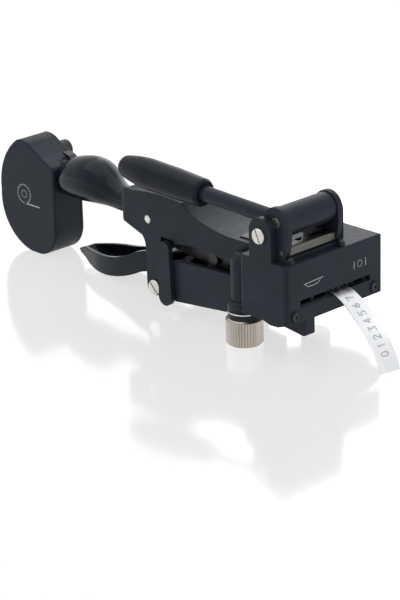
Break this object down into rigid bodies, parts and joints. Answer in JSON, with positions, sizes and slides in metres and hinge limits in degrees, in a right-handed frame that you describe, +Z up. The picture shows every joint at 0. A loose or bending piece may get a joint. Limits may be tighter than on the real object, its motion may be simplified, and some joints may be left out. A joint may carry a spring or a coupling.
{
  "type": "label maker",
  "caption": "Hand-held label embosser for metal tape: embossing lever over a boxed head, sprung trigger, bulb handle and round tape magazine at the rear",
  "frame": {"origin": "Centre of the flat foot of the depth knob, on the surface the tool rests on", "axes": "+Z up; -Y is the front, where the label comes out; +Y runs along the tool to the tape magazine; +X is the side with the character dial"},
  "size_m": [0.085, 0.2816, 0.079],
  "materials": {
    "satin_paint": "satin, slightly bluish black enamel",
    "gloss_paint": "glossy black enamel",
    "grip_plastic": "moulded black grip, low gloss",
    "brushed": "brushed steel, slightly warm",
    "nickel": "bright nickel plate",
    "knob_nickel": "knurled warm nickel plate",
    "dark_steel": "blackened steel",
    "dial_plastic": "moulded black plastic",
    "tape_metal": "thin embossing tape, soft sheen",
    "spring_steel": "spring wire",
    "brass_roller": "turned roller"
  },
  "bodies": {
    "tool_frame": {"front_housing": "satin_paint", "base_plate": "satin_paint", "support_foot": "satin_paint", "rear_foot": "satin_paint", "upper_body": "satin_paint", "lower_body": "satin_paint", "body_top_plate": "dark_steel", "rear_handle": "gloss_paint", "tape_strip": "tape_metal", "label_strip": "tape_metal", "lever_frame": "satin_paint", "stop_bar": "brushed", "lever_axle": "nickel", "anvil_arm": "brushed", "rocker_pin": "dark_steel", "cutter_guides": "brushed", "label_guide": "brushed", "feed_bracket": "brushed", "magazine_case": "satin_paint", "cover_catch": "dark_steel", "housing_screws": "dark_steel", "ear_screws": "nickel", "ear_bushes": "brushed", "trigger_pivot_screws": "nickel", "body_rivets": "nickel", "depth_column": "satin_paint", "frame_screws": "dark_steel"},
    "emboss_lever": {"lever_drum": "satin_paint", "lever_cam": "dark_steel", "lever_tube": "satin_paint", "lever_grip": "grip_plastic"},
    "plunger": {"plunger": "dark_steel", "plunger_spring": "spring_steel"},
    "character_dial": {"upper_die_wheel": "dial_plastic", "lower_die_wheel": "dial_plastic", "dial_shaft": "brushed", "dial_knob": "knob_nickel"},
    "depth_adjuster": {"depth_knob": "knob_nickel", "depth_collar": "satin_paint", "depth_washer": "nickel", "depth_screw": "brushed"},
    "trigger": {"trigger": "gloss_paint", "trigger_spring": "spring_steel"},
    "trigger_link": {"trigger_link": "satin_paint"},
    "rocker": {"rocker": "dark_steel"},
    "cutter": {"cutter_slide": "brushed", "cutter_blade": "brushed", "punch_pin": "brushed"},
    "feed_roller": {"feed_roller": "brass_roller"},
    "idler_roller": {"idler_roller": "brass_roller"},
    "tape_spool": {"tape_spool": "dial_plastic", "tape_roll": "tape_metal"},
    "magazine_cover": {"magazine_cover": "satin_paint"},
    "cover_thumb_screw": {"cover_thumb_screw": "dark_steel"}
  },
  "joints": [
    {"name": "lever_hinge", "type": "hinge", "parent": "tool_frame", "child": "emboss_lever", "pos_m": [0.014, -0.0273, 0.069], "axis": [1, 0, 0], "range_deg": [0, 30]},
    {"name": "plunger_slide", "type": "slide", "parent": "tool_frame", "child": "plunger", "axis": [0, 0, 1], "range_m": [0, 0.0011], "deforming": ["plunger_spring"]},
    {"name": "dial_turn", "type": "hinge", "parent": "tool_frame", "child": "character_dial", "pos_m": [0.046, -0.004, 0.03], "axis": [0, 0, 1], "continuous": true},
    {"name": "depth_turn", "type": "hinge", "parent": "tool_frame", "child": "depth_adjuster", "pos_m": [0, 0, 0.01], "axis": [0, 0, 1], "range_deg": [-150, 150]},
    {"name": "trigger_hinge", "type": "hinge", "parent": "tool_frame", "child": "trigger", "pos_m": [0.0255, 0.0664, 0.0113], "axis": [1, 0, 0], "range_deg": [0, 13], "stiffness_Nm_per_rad": 0.25, "springref_deg": -20.05},
    {"name": "link_slide", "type": "slide", "parent": "tool_frame", "child": "trigger_link", "axis": [0, 0, 1], "range_m": [-0.00233, 0]},
    {"name": "rocker_hinge", "type": "hinge", "parent": "tool_frame", "child": "rocker", "pos_m": [0.012, 0.029, 0.034], "axis": [1, 0, 0], "range_deg": [-4.84, 0]},
    {"name": "cutter_slide", "type": "slide", "parent": "tool_frame", "child": "cutter", "axis": [0, 0, 1], "range_m": [0, 0.0039]},
    {"name": "feed_turn", "type": "hinge", "parent": "tool_frame", "child": "feed_roller", "pos_m": [0.026, 0.036, 0.02405], "axis": [1, 0, 0], "continuous": true},
    {"name": "idler_turn", "type": "hinge", "parent": "tool_frame", "child": "idler_roller", "pos_m": [0.026, 0.036, 0.03405], "axis": [1, 0, 0], "continuous": true},
    {"name": "spool_turn", "type": "hinge", "parent": "tool_frame", "child": "tape_spool", "pos_m": [0.026, 0.1795, 0.03], "axis": [1, 0, 0], "continuous": true},
    {"name": "cover_hinge", "type": "hinge", "parent": "tool_frame", "child": "magazine_cover", "pos_m": [0.035, 0.1756, 0.0531], "axis": [1, 0, 0], "range_deg": [0, 110]},
    {"name": "thumb_screw_turn", "type": "hinge", "parent": "tool_frame", "child": "cover_thumb_screw", "pos_m": [0.038, 0.1756, 0.0531], "axis": [1, 0, 0], "continuous": true}
  ],
  "couplings": [
    {"joint": "plunger_slide", "follows": "lever_hinge", "m_per_rad": 0.0021},
    {"joint": "link_slide", "follows": "trigger_hinge", "m_per_rad": -0.010269},
    {"joint": "rocker_hinge", "follows": "trigger_hinge", "ratio": -0.37207},
    {"joint": "cutter_slide", "follows": "trigger_hinge", "m_per_rad": 0.017172},
    {"joint": "idler_turn", "follows": "feed_turn", "ratio": -1.1111},
    {"joint": "spool_turn", "follows": "feed_turn", "ratio": 0.2717}
  ]
}
